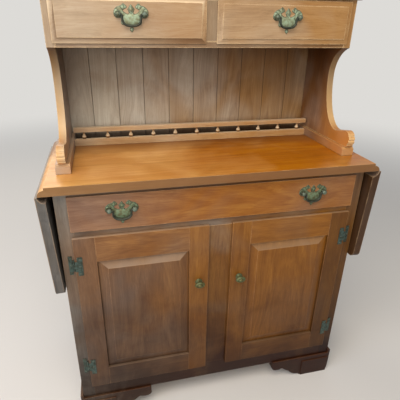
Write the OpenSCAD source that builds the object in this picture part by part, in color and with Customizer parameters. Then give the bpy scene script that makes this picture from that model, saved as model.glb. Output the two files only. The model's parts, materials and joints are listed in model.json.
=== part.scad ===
// Drop-leaf hutch cabinet: a two-door base with one wide drawer, a worktop with a
// rule-jointed leaf at each end, and an open hutch with two small drawers above.
// Millimetres. +X right, the front faces -Y, +Z up, origin on the floor under the middle.

/* [Case] */
// Width of the base case
case_w = 840; // [720:5:960]
// Depth of the base case with its face frame
case_d = 372; // [352:1:400]
// Clear height under the case
leg_h = 79; // [70:1:100]
// Thickness of sides, shelves and face frames
stock = 19; // [17:1:21]
// Height of the door fronts
door_h = 521; // [440:1:600]
// Height of the wide drawer front
drawer_h = 94.5; // [88:0.5:120]
// Height of the bottom rail that shows below the doors
low_rail = 52; // [44:1:70]
// Height of the rail that shows between doors and drawer
mid_rail = 19.5; // [14:0.5:30]
// Height of the rail that shows above the drawer
high_rail = 13; // [12:0.2:24]
// Width of the outer stile that shows beside a door
edge_stile = 30.6; // [26:0.2:40]
// Width of the stile that shows between the doors
mid_stile = 66.6; // [50:0.2:90]

/* [Doors] */
// Width of a door stile
door_stile = 55; // [45:1:65]
// Height of the door's top rail
door_top = 73.5; // [55:0.5:85]
// Height of the door's bottom rail
door_low = 68; // [55:1:85]
// Width of the bevel round the raised field
bevel = 26; // [18:1:32]
// Height of the knobs below the door's top edge
knob_drop = 180; // [120:1:240]
// Knob diameter
knob_d = 29; // [20:1:32]
// How far a knob stands off the door
knob_out = 25; // [20:1:30]
// Distance from a door's end to the middle of its hinge
hinge_in = 82; // [60:1:100]

/* [Worktop] */
// Worktop and leaf thickness
top_t = 22.4; // [18:0.2:24]
// Worktop overhang at the front
top_front = 24; // [16:1:30]
// Worktop overhang at the back
top_back = 9; // [4:1:12]
// How far the leaf pins lie outside the case
pin_out = 14; // [14:1:20]
// Radius of the rule joint
rule_r = 16; // [14:0.5:17]
// Leaf length from its pin to its free edge
leaf_l = 283; // [240:1:320]
// Corner radius of a leaf's free edge
leaf_r = 18; // [8:1:30]
// Inward tilt of a hanging leaf, in degrees
leaf_tilt = 2.4; // [0:0.1:2.6]

/* [Hutch] */
// Width of the hutch
hutch_w = 808; // [700:2:820]
// Distance of the hutch's face behind the front of the case
hutch_in = 147.5; // [130:0.5:160]
// Clear height from the worktop to the drawer box
bay_h = 286.6; // [250:0.2:330]
// Height of the small drawer fronts
small_h = 106.5; // [90:0.5:125]
// Width of the moulded rim round a small drawer front
rim = 13; // [8:0.5:18]
// Width of the stile that shows between the small drawers
small_mid = 28; // [22:1:40]
// Thickness of the hutch's top board
roof_t = 19; // [15:1:22]
// Overhang of the hutch's top board
roof_over = 10; // [4:1:16]
// Number of back boards
boards = 10; // [8:1:12]
// Number of gallery spindles
spindles = 11; // [7:2:13]

/* [Pulls] */
// Spacing of the pull posts
post_gap = 63; // [60:0.5:66]
// Distance of the wide drawer's pulls from the middle
pull_x = 261; // [200:1:290]
// Thickness of a pull's back plate
plate_t = 1.6; // [1.2:0.1:2]

/* [Hidden] */
$fn = 48;
lip = 6;
lip_t = 9;
gap = 0.5;
slack = 2;
ride = 0.1;
rim_in = 1.6;
glue = 0.05;
half = case_w / 2;
inner = half - stock;
z_low = leg_h;
z_door = z_low + low_rail;
z_door2 = z_door + door_h;
z_drawer = z_door2 + mid_rail;
z_drawer2 = z_drawer + drawer_h;
z_top = z_drawer2 + high_rail;
z_work = z_top + top_t;
front_x = half - edge_stile;
open_x = front_x - lip;
back_t = 6;
knob_reach = lip_t + gap + knob_out;
work_back = case_d + top_back;
y_off = (knob_reach - work_back) / 2;
dado = 6;
tenon = 20;
tenon_t = 6;
pin_x = half + pin_out;
work_depth = work_back + top_front;
door_x0 = mid_stile / 2;
door_w = front_x - door_x0;
mid_x = door_x0 + lip;
field_y = -lip_t - gap + 0.5;
groove_y0 = -1.5;
groove_y1 = 4.5;
hinge_x = front_x + 3.2;
hinge_y = -4;
knuckle_r = 2.8;
hinge_pin_r = 1.3;
hinge_h = 28;
barrel = 15;
hinge_z = [z_door + hinge_in, z_door2 - hinge_in];
shoe_w = 36;
shoe_h = 25;
side_x = hutch_w / 2;
side_in = side_x - stock;
shoe_in = side_in - 9;
z_box = z_work + bay_h;
box_t = 15.5;
z_small = z_box + box_t - lip;
z_small2 = z_small + small_h;
z_roof = z_small2 + 4;
small_in = small_mid / 2;
small_out = side_x - 14.5;
board_y = case_d - 23;
board_t = 12;
lap = 8;
bite_y = hutch_in - 25.5;
bite_z = z_box - 78;
bite_a = 83;
bite_top = 82;
bite_low = bite_z - z_work - 59.6;
gallery_y = case_d - 82;
gallery_z = z_work + 19.6;
gallery_z2 = gallery_z + 22;
spindle_gap = 2 * shoe_in / (spindles - 0.2);
post_x = post_gap / 2;
bail_x = post_x - 9.5;
post_r = 6.5;
flap_w = 30;
flap_t = 1.6;
flap_l = 62;
flap_y = [70, work_back - 70];
prop_drop = 80;
prop_x = half + 4.5;
prop_y = 178;
prop_t = 3;
prop_turn = 1.5 * (90 + leaf_tilt);
prop_l = (prop_drop - 0.3 + 0.5 * sin(prop_turn)) / -cos(prop_turn);

module at() { translate([0, y_off, 0]) children(); }
module box(a, b) { translate(a) cube(b - a); }
module pair() {
  children();
  mirror([1, 0, 0]) children();
}
module oak() { color([0.72, 0.5, 0.28]) children(); }
module iron() { color([0.4, 0.42, 0.36]) children(); }

// ---- base case ----
module base_side() {
  difference() {
    box([inner, stock, z_low], [half, case_d, z_top]);
    box([inner - 1, stock - 1, z_door + lip - stock], [inner + dado, case_d - back_t, z_door + lip]);
    box([inner - 1, 40, shelf_z()], [inner + dado, case_d - back_t, shelf_z() + stock]);
    box([inner - 1, case_d - back_t, z_door + lip - stock], [inner + 9, case_d + 1, z_top + 1]);
  }
}
function shelf_z() = z_door + door_h * 0.49;
module case_sides() { oak() at() pair() base_side(); }
module case_bottom() {
  z = z_door + lip;
  oak() at() box([-inner - dado, stock, z - stock], [inner + dado, case_d - back_t, z]);
}
module case_shelf() {
  z = shelf_z();
  oak() at() box([-inner - dado, 40, z], [inner + dado, case_d - back_t, z + stock]);
}
module case_back() {
  w = (2 * inner + 18) / 6;
  oak() at() for (i = [0:5]) {
    box([-inner - 9 + i * w, case_d - back_t, z_door + lip - stock],
        [-inner - 9 + (i + 1) * w - (i < 5 ? 0.6 : 0), case_d, z_top]);
  }
}
// A rail's tenons, drawn for both ends
module tenons(x, z0, z1, len) {
  pair() box([x - 1, stock / 2 - tenon_t / 2, z0], [x + len, stock / 2 + tenon_t / 2, z1]);
}
z_open = z_door + lip;
z_open2 = z_door2 - lip;
z_draw = z_drawer + lip;
z_draw2 = z_drawer2 - lip;
module face_stiles() {
  oak() at() {
    difference() {
      pair() box([open_x, 0, z_low], [half, stock, z_top]);
      tenons(open_x, z_low + 8, z_open - 6, tenon);
      tenons(open_x, z_open2 + 5, z_draw - 5, tenon);
      tenons(open_x, z_draw2 + 4, z_top - 4, tenon);
    }
    box([-mid_x, 0, z_open], [mid_x, stock, z_open2]);
    box([-20, stock / 2 - 3, z_open - 14], [20, stock / 2 + 3, z_open2 + 10]);
  }
}
module rail_top() {
  oak() at() {
    box([-open_x, 0, z_draw2], [open_x, stock, z_top]);
    tenons(open_x, z_draw2 + 4, z_top - 4, tenon);
  }
}
module rail_mid() {
  oak() at() {
    difference() {
      box([-open_x, 0, z_open2], [open_x, stock, z_draw]);
      box([-20, stock / 2 - 3, z_open2 - 1], [20, stock / 2 + 3, z_open2 + 10]);
    }
    tenons(open_x, z_open2 + 5, z_draw - 5, tenon);
  }
}
module rail_bottom() {
  oak() at() {
    difference() {
      box([-open_x, 0, z_low], [open_x, stock, z_open]);
      box([-20, stock / 2 - 3, z_open - 14], [20, stock / 2 + 3, z_open + 1]);
    }
    tenons(open_x, z_low + 8, z_open - 6, tenon);
  }
}
// Runners under the wide drawer, guides beside it and kickers above it
module drawer_guides() {
  x = open_x - slack;
  oak() at() pair() {
    box([inner - 30, stock, z_draw - 18], [inner, case_d - back_t, z_draw]);
    box([x + 1, stock, z_draw + glue], [inner, case_d - back_t, z_draw + 20]);
    box([inner - 30, stock, z_draw2], [inner, case_d - back_t, z_top]);
  }
}

// ---- feet ----
// Bracket outline in its own plane: u runs out to the corner, v up from the floor
foot_len = 218;
foot_v = leg_h / 79;
module foot_outline() {
  polygon([
    [0, 79 * foot_v], [0, 60], [-1, 54], [4, 47], [12, 43], [22, 42], [30, 44], [36, 46],
    [41, 45], [45, 41], [53, 35], [60, 31], [65, 27], [72, 19], [80, 13], [90, 8.5],
    [101, 6.5], [106, 4], [108, 0], [208, 0], [213, 4], [216, 12], [217, 30], [foot_len, 60],
    [foot_len, 79 * foot_v]
  ]);
}
foot_x = half + 8;
foot_t = 25;
rear_l = 92;
ledge_h = 16;
module feet_front() {
  oak() at() pair() {
    translate([foot_x - foot_len, foot_t - 6, 0]) rotate([90, 0, 0])
      linear_extrude(foot_t) foot_outline();
    translate([foot_x - foot_t, foot_len - 6, 0]) rotate([90, 0, 90]) mirror([1, 0, 0])
      linear_extrude(foot_t) foot_outline();
    box([foot_x - 106, -9, 0], [foot_x - 7, -5, 65]);
    box([foot_x - foot_len, -6, leg_h], [foot_x, 0, leg_h + 3]);
    box([half, -6, leg_h], [foot_x, foot_len - 6, leg_h + ledge_h]);
  }
}
module feet_rear() {
  oak() at() pair() difference() {
    box([half - foot_t, case_d - rear_l, 0], [half, case_d, leg_h]);
    translate([half - foot_t - 1, case_d - rear_l, 0]) rotate([0, 90, 0])
      cylinder(h = foot_t + 2, r = 44);
  }
}

// ---- doors ----
tongue_t = 6;
groove = 8;
door_y0 = -lip_t - gap;
door_y1 = door_y0 + stock;
module door_stile_at(x0, x1, lip0, lip1, open_side) {
  difference() {
    union() {
      box([x0, door_y0, z_door], [x1, -gap, z_door2]);
      box([x0 + lip0, -gap - 0.01, z_door + lip + slack], [x1 - lip1, door_y1, z_door2 - lip - slack]);
    }
    box([open_side > 0 ? x1 - groove : x0 - 1, groove_y0, z_door - 1],
        [open_side > 0 ? x1 + 1 : x0 + groove, groove_y1, z_door2 + 1]);
  }
}
module door_rail_at(z0, z1, low, high) {
  x0 = door_x0 + door_stile;
  x1 = front_x - door_stile;
  difference() {
    union() {
      box([x0, door_y0, z0], [x1, -gap, z1]);
      box([x0, -gap - 0.01, z0 + low], [x1, door_y1, z1 - high]);
      box([x0 - groove, groove_y0, z0], [x1 + groove, -gap, z1]);
      box([x0 - groove, groove_y0, z0 + low], [x1 + groove, groove_y1, z1 - high]);
    }
    box([x0 - groove - 1, groove_y0, low > 0 ? z1 - groove : z0 - 1],
        [x1 + groove + 1, groove_y1, low > 0 ? z1 + 1 : z0 + groove]);
  }
}
knob_x = door_x0 + door_stile / 2;
knob_z = z_door2 - knob_drop;
module door_stiles(dir) {
  oak() at() mirror([dir < 0 ? 1 : 0, 0, 0]) {
    difference() {
      door_stile_at(door_x0, door_x0 + door_stile, lip + slack, 0, 1);
      translate([knob_x, 0, knob_z]) rotate([90, 0, 0]) cylinder(h = 60, r = 2.5, center = true);
    }
    door_stile_at(front_x - door_stile, front_x, 0, lip + slack, -1);
  }
}
module door_rails(dir) {
  oak() at() mirror([dir < 0 ? 1 : 0, 0, 0]) {
    door_rail_at(z_door, z_door + door_low, lip + slack, 0);
    door_rail_at(z_door2 - door_top, z_door2, 0, lip + slack);
  }
}
// Cross-section of a raised panel from a to b, as (across, depth)
module panel_section(a, b) {
  polygon([
    [a - 7, groove_y1], [a - 7, groove_y0], [a, groove_y0], [a + bevel, field_y + 1],
    [a + bevel, field_y], [b - bevel, field_y], [b - bevel, field_y + 1], [b, groove_y0],
    [b + 7, groove_y0], [b + 7, groove_y1]
  ]);
}
module door_panel(dir) {
  x0 = door_x0 + door_stile;
  x1 = front_x - door_stile;
  z0 = z_door + door_low;
  z1 = z_door2 - door_top;
  oak() at() mirror([dir < 0 ? 1 : 0, 0, 0]) intersection() {
    translate([0, 0, z0 - 7]) linear_extrude(z1 - z0 + 14) panel_section(x0, x1);
    translate([x0 - 8, 0, 0]) rotate([0, 90, 0]) rotate([0, 0, 0]) mirror([1, 0, 0])
      linear_extrude(x1 - x0 + 16) panel_section(z0, z1);
  }
}
module knob(dir) {
  r = knob_d / 2;
  iron() at() mirror([dir < 0 ? 1 : 0, 0, 0]) translate([knob_x, door_y0, knob_z]) rotate([90, 0, 0]) {
    rotate_extrude() polygon([
      [0, -stock - 2], [6, -stock - 2], [6, -stock], [2.5, -stock], [2.5, 0], [r + 2.5, 0],
      [r + 2.5, 1], [r, 2.4], [r * 0.5, 3], [r * 0.42, 8], [r * 0.5, 10.5], [r * 0.86, 12.5],
      [r, 15.5], [r * 0.97, 18.5], [r * 0.8, 21.5], [r * 0.45, knob_out - 1], [0, knob_out]
    ]);
  }
}
module door_left_stiles() { door_stiles(-1); }
module door_left_rails() { door_rails(-1); }
module door_left_panel() { door_panel(-1); }
module door_left_knob() { knob(-1); }
module door_right_stiles() { door_stiles(1); }
module door_right_rails() { door_rails(1); }
module door_right_panel() { door_panel(1); }
module door_right_knob() { knob(1); }

// ---- door hinges ----
module post_z(r, z0, z1) { translate([0, 0, z0]) cylinder(h = z1 - z0, r = r); }
module hinge_frame_half() {
  for (z = hinge_z) translate([hinge_x, 0, z]) {
    box([3.6, -1.6, -hinge_h], [13.4, 0, hinge_h]);
    for (s = [-1, 1]) difference() {
      union() {
        box([-1, -1.6, s > 0 ? 6.2 : -barrel], [3.7, 0, s > 0 ? barrel : -6.2]);
        translate([0, hinge_y, 0]) post_z(knuckle_r, s > 0 ? 6.2 : -barrel, s > 0 ? barrel : -6.2);
      }
      translate([0, hinge_y, 0]) post_z(hinge_pin_r, -40, 40);
    }
  }
}
module door_pins() {
  for (z = hinge_z) translate([hinge_x, hinge_y, z]) {
    post_z(hinge_pin_r, -barrel, barrel);
    post_z(2.2, -barrel - 2, -barrel);
    post_z(2.2, barrel, barrel + 2);
  }
}
module hinge_door_half() {
  face = door_y0;
  for (z = hinge_z) translate([hinge_x, 0, z]) difference() {
    union() {
      box([-22.2, face - 1.6, -hinge_h], [-9, face, hinge_h]);
      box([-9.1, face - 1.6, -barrel], [-3.2, face, barrel]);
      box([-3.3, face - 1.6, -6], [-1.4, face, 6]);
      box([-3, face - 1.6, -6], [-1.4, hinge_y, 6]);
      translate([0, hinge_y, 0]) post_z(knuckle_r, -6, 6);
    }
    translate([0, hinge_y, 0]) post_z(hinge_pin_r + 0.05, -40, 40);
  }
}
module hinges_frame() { iron() at() pair() hinge_frame_half(); }
module hinges_door_left() { iron() at() mirror([1, 0, 0]) hinge_door_half(); }
module hinges_door_right() { iron() at() hinge_door_half(); }

// ---- drawers ----
// A lipped front from x0 to x1 with its face frame plane at y
module drawer_front(x0, x1, z0, z1, y, side_t, edge = 0) {
  a = x0 + lip + slack + side_t;
  b = x1 - lip - slack - side_t;
  difference() {
    union() {
      box([x0, y - lip_t - gap + (edge > 0 ? rim_in : 0), z0], [x1, y - gap, z1]);
      box([x0 + edge, y - lip_t - gap, z0 + edge], [x1 - edge, y - gap, z1 - edge]);
      box([a, y - gap - 0.01, z0 + lip + slack], [b, y - gap + stock - lip_t, z1 - lip - slack]);
    }
    box([a - 1, y + 3, z0 + 13], [b + 1, y + 30, z0 + 18]);
  }
}
module drawer_box(x0, x1, z0, z1, y, y1, side_t) {
  a = x0 + lip + slack;
  b = x1 - lip - slack;
  for (s = [a, b - side_t]) difference() {
    box([s, y - gap, z0 + lip + ride], [s + side_t, y1, z1 - lip - 4]);
    box([s == a ? s + side_t - 5 : s - 1, y - gap - 1, z0 + 13],
        [s == a ? s + side_t + 1 : s + 5, y1 + 1, z0 + 18]);
  }
  box([a + side_t + glue, y1 - side_t, z0 + 18], [b - side_t - glue, y1, z1 - lip - 6]);
}
module drawer_bottom(x0, x1, z0, y, y1, side_t) {
  a = x0 + lip + slack + side_t - 5;
  b = x1 - lip - slack - side_t + 5;
  box([a + glue, y + 3, z0 + 13 + glue], [b - glue, y1, z0 + 18 - glue]);
}
// Bolt holes for a pull centred at x
module post_holes(x, z, y) {
  for (s = [-1, 1]) translate([x + s * post_x, y, z]) rotate([90, 0, 0])
    cylinder(h = 60, r = 2, center = true);
}
low_y1 = case_d - 34;
small_y1 = board_y - 6;
pull_z = z_drawer + drawer_h * 0.565;
pull_z2 = z_small + small_h * 0.615;
pull_x2 = (small_in + small_out) / 2;
module wide_front() {
  oak() at() difference() {
    drawer_front(-front_x, front_x, z_drawer, z_drawer2, 0, 11);
    post_holes(-pull_x, pull_z, 0);
    post_holes(pull_x, pull_z, 0);
  }
}
module wide_box() { oak() at() drawer_box(-front_x, front_x, z_drawer, z_drawer2, 0, low_y1, 11); }
module wide_bottom() { oak() at() drawer_bottom(-front_x, front_x, z_drawer, 0, low_y1, 11); }
module small_front(dir) {
  oak() at() mirror([dir < 0 ? 1 : 0, 0, 0]) difference() {
    drawer_front(small_in, small_out, z_small, z_small2, hutch_in, 10, rim);
    post_holes(pull_x2, pull_z2, hutch_in);
  }
}
// Sides, back and bottom of a small drawer; the bottom stands 0.1 clear in its grooves
module small_box(dir) {
  oak() at() mirror([dir < 0 ? 1 : 0, 0, 0]) {
    drawer_box(small_in, small_out, z_small, z_small2, hutch_in, small_y1, 10);
    drawer_bottom(small_in, small_out, z_small, hutch_in, small_y1, 10);
  }
}
module small_left_front() { small_front(-1); }
module small_left_box() { small_box(-1); }
module small_right_front() { small_front(1); }
module small_right_box() { small_box(1); }

// ---- pulls ----
// Right half of a pull's outline, from its top to its pendant
wing = [
  [0, 18], [5, 13], [9, 12], [13, 15], [18, 21], [24, 18], [31, 16], [39, 11], [42, 4],
  [40, -4], [35, -8], [27, -8], [24, -15], [20, -26], [15, -26], [9, -27], [5, -29], [6, -33]
];
module plate_outline() {
  polygon(concat(wing, [[0, -41]], [for (i = [len(wing) - 1:-1:1]) [-wing[i][0], wing[i][1]]]));
}
module plate_at(x, z, y) {
  translate([x, y - lip_t - gap, z]) rotate([90, 0, 0]) difference() {
    linear_extrude(plate_t) plate_outline();
    for (s = [-1, 1]) translate([s * post_x, 0, -1]) cylinder(h = 4, r = 2);
  }
}
// Axis of a bail, measured out from the drawer's lip face
bail_out = plate_t + 5;
module posts_at(x, z, y) {
  face = y - lip_t - gap;
  for (s = [-1, 1]) translate([x + s * post_x, face, z]) {
    difference() {
      rotate([90, 0, 0]) rotate_extrude() polygon(concat(
        [[0, -stock - 8], [2, -stock - 8], [2, plate_t], [4.5, plate_t], [4, plate_t + 1]],
        [for (t = [-50:10:90]) [post_r * cos(t), bail_out + 2 + post_r * 0.8 * sin(t)]]
      ));
      translate([s > 0 ? -post_r - 1 : -post_r + 5, -bail_out - 1, 0]) rotate([0, 90, 0])
        cylinder(h = 2 * post_r - 4, r = 1.55);
    }
    translate([0, stock + 3, 0]) rotate([90, 0, 0]) difference() {
      cylinder(h = 3, r = 5, $fn = 6);
      translate([0, 0, -1]) cylinder(h = 5, r = 2);
    }
  }
}
module bail_at(x, z, y) {
  r = 2.2;
  turn = 13;
  drop = 12;
  translate([x, y - lip_t - gap - bail_out - 1, z]) {
    pair() {
      translate([bail_x, 0, 0]) rotate([0, 90, 0]) cylinder(h = post_x - bail_x, r = 1.5);
      translate([bail_x, 0, -drop]) cylinder(h = drop, r = r);
      translate([bail_x, 0, 0]) sphere(r = r);
      translate([bail_x - turn, 0, -drop]) rotate([90, 0, 0]) mirror([0, 1, 0])
        rotate_extrude(angle = 90) translate([turn, 0]) circle(r = r);
      translate([0, 0, -drop - turn]) rotate([0, 90, 0]) cylinder(h = bail_x - turn, r = r);
      translate([0, 0, -drop - turn]) rotate([0, 90, 0]) cylinder(h = 5, r = 3);
    }
  }
}
module plates_wide() { iron() at() for (s = [-1, 1]) plate_at(s * pull_x, pull_z, 0); }
module plate_small_left() { iron() at() plate_at(-pull_x2, pull_z2, hutch_in); }
module plate_small_right() { iron() at() plate_at(pull_x2, pull_z2, hutch_in); }
module posts_wide() { iron() at() for (s = [-1, 1]) posts_at(s * pull_x, pull_z, 0); }
module posts_small_left() { iron() at() posts_at(-pull_x2, pull_z2, hutch_in); }
module posts_small_right() { iron() at() posts_at(pull_x2, pull_z2, hutch_in); }
module bail_wide_left() { iron() at() bail_at(-pull_x, pull_z, 0); }
module bail_wide_right() { iron() at() bail_at(pull_x, pull_z, 0); }
module bail_small_left() { iron() at() bail_at(-pull_x2, pull_z2, hutch_in); }
module bail_small_right() { iron() at() bail_at(pull_x2, pull_z2, hutch_in); }

// ---- worktop and leaves ----
module rod_y(r, y0, y1) { translate([0, y0, 0]) rotate([-90, 0, 0]) cylinder(h = y1 - y0, r = r); }
module worktop() {
  w = flap_w / 2;
  oak() at() difference() {
    union() {
      box([-pin_x, -top_front, z_top], [pin_x, work_back, z_work]);
      pair() translate([pin_x, 0, z_top]) intersection() {
        rod_y(rule_r, -top_front, work_back);
        box([-1, -top_front, 0], [rule_r + 1, work_back, rule_r + 1]);
      }
    }
    pair() for (y = flap_y) translate([pin_x, y, z_top]) {
      box([-flap_l + 22, -w, -1], [0, w, flap_t]);
      box([-4, -w - 0.4, -1], [rule_r + 1, w + 0.4, flap_t + 0.4]);
      rod_y(3.1, -w - 0.4, w + 0.4);
    }
  }
}
// A right-hand leaf lying level, with its pin at the origin
module leaf_level() {
  w = flap_w / 2;
  x1 = leaf_l;
  y0 = -top_front;
  y1 = work_back;
  difference() {
    linear_extrude(top_t) {
      translate([gap, y0]) square([x1 - leaf_r - gap, y1 - y0]);
      translate([gap, y0 + leaf_r]) square([x1 - gap, y1 - y0 - 2 * leaf_r]);
      for (y = [y0 + leaf_r, y1 - leaf_r]) translate([x1 - leaf_r, y]) circle(r = leaf_r);
    }
    rod_y(rule_r + gap, y0 - 1, y1 + 1);
    for (y = flap_y) box([rule_r - 2, y - w, -1], [flap_l, y + w, flap_t]);
  }
}
module flap_level() {
  w = flap_w / 2;
  for (y = flap_y) translate([0, y, 0]) difference() {
    union() {
      box([3.4, -w, 0], [flap_l, w, flap_t]);
      box([0, -4.9, 0], [4, 4.9, flap_t]);
      rod_y(2.6, -4.9, 4.9);
    }
    rod_y(1.25, -10, 10);
  }
}
module hang() { translate([pin_x, 0, z_top]) rotate([0, 90 + leaf_tilt, 0]) children(); }
module leaf_left() { oak() at() mirror([1, 0, 0]) hang() leaf_level(); }
module leaf_right() { oak() at() hang() leaf_level(); }
module flaps_left() { iron() at() mirror([1, 0, 0]) hang() flap_level(); }
module flaps_right() { iron() at() hang() flap_level(); }
module flaps_top() {
  w = flap_w / 2;
  iron() at() pair() for (y = flap_y) translate([pin_x, y, z_top]) {
    difference() {
      union() {
        box([-flap_l + 22, -w, 0], [-3.4, w, flap_t]);
        for (s = [-w, 5]) {
          box([-4, s, 0], [0, s + w - 5, flap_t]);
          rod_y(2.6, s, s + w - 5);
        }
      }
      rod_y(1.2, -w - 1, w + 1);
    }
  }
}
module flap_pins() {
  for (y = flap_y) translate([pin_x, y, z_top]) rod_y(1.2, -flap_w / 2, flap_w / 2);
}
module hinge_pins() {
  iron() at() pair() {
    door_pins();
    flap_pins();
  }
}
// Strap under each leaf, hanging in the gap and swinging out to hold the leaf level
module prop_at() {
  translate([prop_x, prop_y, z_top - prop_drop]) difference() {
    union() {
      rod_y(3.2, -10, 10);
      box([-prop_t - 0.5, -10, -prop_l], [-0.5, 10, 0]);
    }
    rod_y(1.55, -11, 11);
  }
}
module prop_left() { iron() at() mirror([1, 0, 0]) prop_at(); }
module prop_right() { iron() at() prop_at(); }
module prop_brackets() {
  iron() at() pair() translate([prop_x, prop_y, z_top - prop_drop]) {
    rod_y(1.5, -12.5, 12.5);
    for (s = [-1, 1]) difference() {
      union() {
        translate([0, s * 11.5, 0]) rod_y(3.2, -1, 1);
        box([-4.5, s * 11.5 - 1, -3.2], [0, s * 11.5 + 1, 3.2]);
        box([-4.5, s > 0 ? 10.5 : -22, -6], [-3.5, s > 0 ? 22 : -10.5, 6]);
      }
      rod_y(1.5, -20, 20);
    }
  }
}

// ---- hutch ----
bite = concat(
  [for (t = [72:-6:0]) [bite_y + bite_a * cos(t), bite_z + bite_top * sin(t)]],
  [for (t = [-6:-6:-90]) [bite_y + bite_a * cos(t), bite_z + bite_low * sin(t)]]
);
shoe_y = 56;
z_shoe = z_work + shoe_h;
cove = 5;
volute = [bite_y - 52, bite_z + bite_low * -1 - 13];
module side_outline() {
  polygon(concat(
    [[case_d, z_shoe], [case_d, z_roof], [hutch_in + stock, z_roof], [hutch_in + stock, z_box]],
    bite,
    [[volute[0], volute[1] + 24], [volute[0], z_shoe]]
  ));
  translate(volute) difference() {
    circle(r = 24);
    for (t = [150, 180, 210]) translate([25 * cos(t), 25 * sin(t)]) circle(r = 3);
  }
}
module hutch_sides() {
  oak() at() pair() difference() {
    translate([side_in, 0, 0]) rotate([90, 0, 90]) intersection() {
      linear_extrude(stock) side_outline();
      translate([0, z_shoe, -1]) cube([case_d, 600, stock + 2]);
    }
    box([side_in - 1, board_y, z_shoe - 1], [side_in + 8, board_y + board_t, z_roof + 1]);
    box([side_in - 1, hutch_in + stock, z_box], [side_in + 7, board_y, z_box + box_t]);
  }
}
module hutch_shoes() {
  oak() at() pair() difference() {
    box([shoe_in, shoe_y, z_work], [shoe_in + shoe_w, case_d, z_shoe]);
    translate([shoe_in - 1, shoe_y, z_shoe]) rotate([0, 90, 0]) cylinder(h = shoe_w + 2, r = cove);
  }
}
module back_boards() {
  w = 2 * (side_in + 8) / boards;
  half_t = board_t / 2;
  oak() at() difference() {
    for (i = [0:boards - 1]) {
      last = i == boards - 1;
      x = -side_in - 8 + i * w;
      box([x, board_y, z_work], [x + w - (last ? 0 : 1), board_y + half_t, z_roof]);
      box([x + (i > 0 ? lap : 0), board_y + half_t - 0.01, z_work],
          [x + w - (last ? 0 : 1), board_y + board_t, z_roof]);
      if (!last) {
        box([x + w - 1.01, board_y + half_t + glue, z_work],
            [x + w + lap - 0.5, board_y + board_t, z_roof]);
      }
    }
    pair() box([shoe_in, board_y - 1, z_work - 1], [side_x, case_d, z_shoe]);
  }
}
module gallery_rails() {
  oak() at() difference() {
    union() {
      box([-shoe_in, gallery_y, z_work], [shoe_in, gallery_y + 12, gallery_z]);
      box([-shoe_in, gallery_y - 1, gallery_z2], [shoe_in, gallery_y + 13, gallery_z2 + 12.5]);
    }
    spindle_row() translate([0, 0, -4]) cylinder(h = gallery_z2 - gallery_z + 8, r = 2.5);
  }
}
module spindle_row() {
  n = (spindles - 1) / 2;
  for (i = [-n:n]) translate([i * spindle_gap, gallery_y + 6, gallery_z]) children();
}
module gallery_spindles() {
  h = gallery_z2 - gallery_z;
  oak() at() spindle_row() rotate_extrude($fn = 24) polygon([
    [0, -4], [2.5, -4], [2.5, 0], [4, 0], [4, 1], [5.4, 2.5], [6.2, 5], [6.2, 7], [5.4, 9.5],
    [3.4, 11], [4.2, 12], [3, 13.5], [2.7, h - 4], [4, h - 2], [4, h], [2.5, h], [2.5, h + 4],
    [0, h + 4]
  ]);
}
module box_floor() {
  oak() at() box([-side_in - 7, hutch_in + stock, z_box], [side_in + 7, board_y, z_box + box_t]);
}
// Face frame of the drawer box: two stiles, a divider, and the rails
module box_stiles() {
  y1 = hutch_in + stock;
  m = small_in + lip;
  oak() at() {
    pair() box([small_out - lip, hutch_in, z_box], [side_x, y1, z_roof]);
    box([-m, hutch_in, z_box + box_t], [m, y1, z_small2 - lip]);
  }
}
module box_rails() {
  y1 = hutch_in + stock;
  x = small_out - lip;
  oak() at() {
    box([-x, hutch_in, z_box], [x, y1, z_box + box_t]);
    box([-x, hutch_in, z_small2 - lip], [x, y1, z_roof]);
  }
}
// Partition between the small drawers and guides beside them
module box_guides() {
  y0 = hutch_in + stock;
  z = z_box + box_t;
  m = small_in + lip + slack - 1;
  oak() at() {
    box([-m, y0, z], [m, board_y, z + 40]);
    pair() box([small_out - lip - slack + 1, y0, z], [side_in, board_y, z + 16]);
  }
}
module box_roof() {
  o = roof_over;
  oak() at() box([-side_x - o, hutch_in - o, z_roof], [side_x + o, case_d, z_roof + roof_t]);
}

case_sides();
case_bottom();
case_shelf();
case_back();
face_stiles();
rail_top();
rail_mid();
rail_bottom();
drawer_guides();
feet_front();
feet_rear();
worktop();
leaf_left();
leaf_right();
flaps_top();
flaps_left();
flaps_right();
prop_brackets();
prop_left();
prop_right();
door_left_stiles();
door_left_rails();
door_left_panel();
door_left_knob();
door_right_stiles();
door_right_rails();
door_right_panel();
door_right_knob();
hinges_frame();
hinge_pins();
hinges_door_left();
hinges_door_right();
wide_front();
wide_box();
wide_bottom();
small_left_front();
small_left_box();
small_right_front();
small_right_box();
plates_wide();
plate_small_left();
plate_small_right();
posts_wide();
posts_small_left();
posts_small_right();
bail_wide_left();
bail_wide_right();
bail_small_left();
bail_small_right();
hutch_sides();
hutch_shoes();
back_boards();
gallery_rails();
gallery_spindles();
box_floor();
box_stiles();
box_rails();
box_guides();
box_roof();
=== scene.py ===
import bpy
import bmesh
import json
import math
import random
from mathutils import Vector, Matrix
from mathutils.geometry import delaunay_2d_cdt


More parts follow.
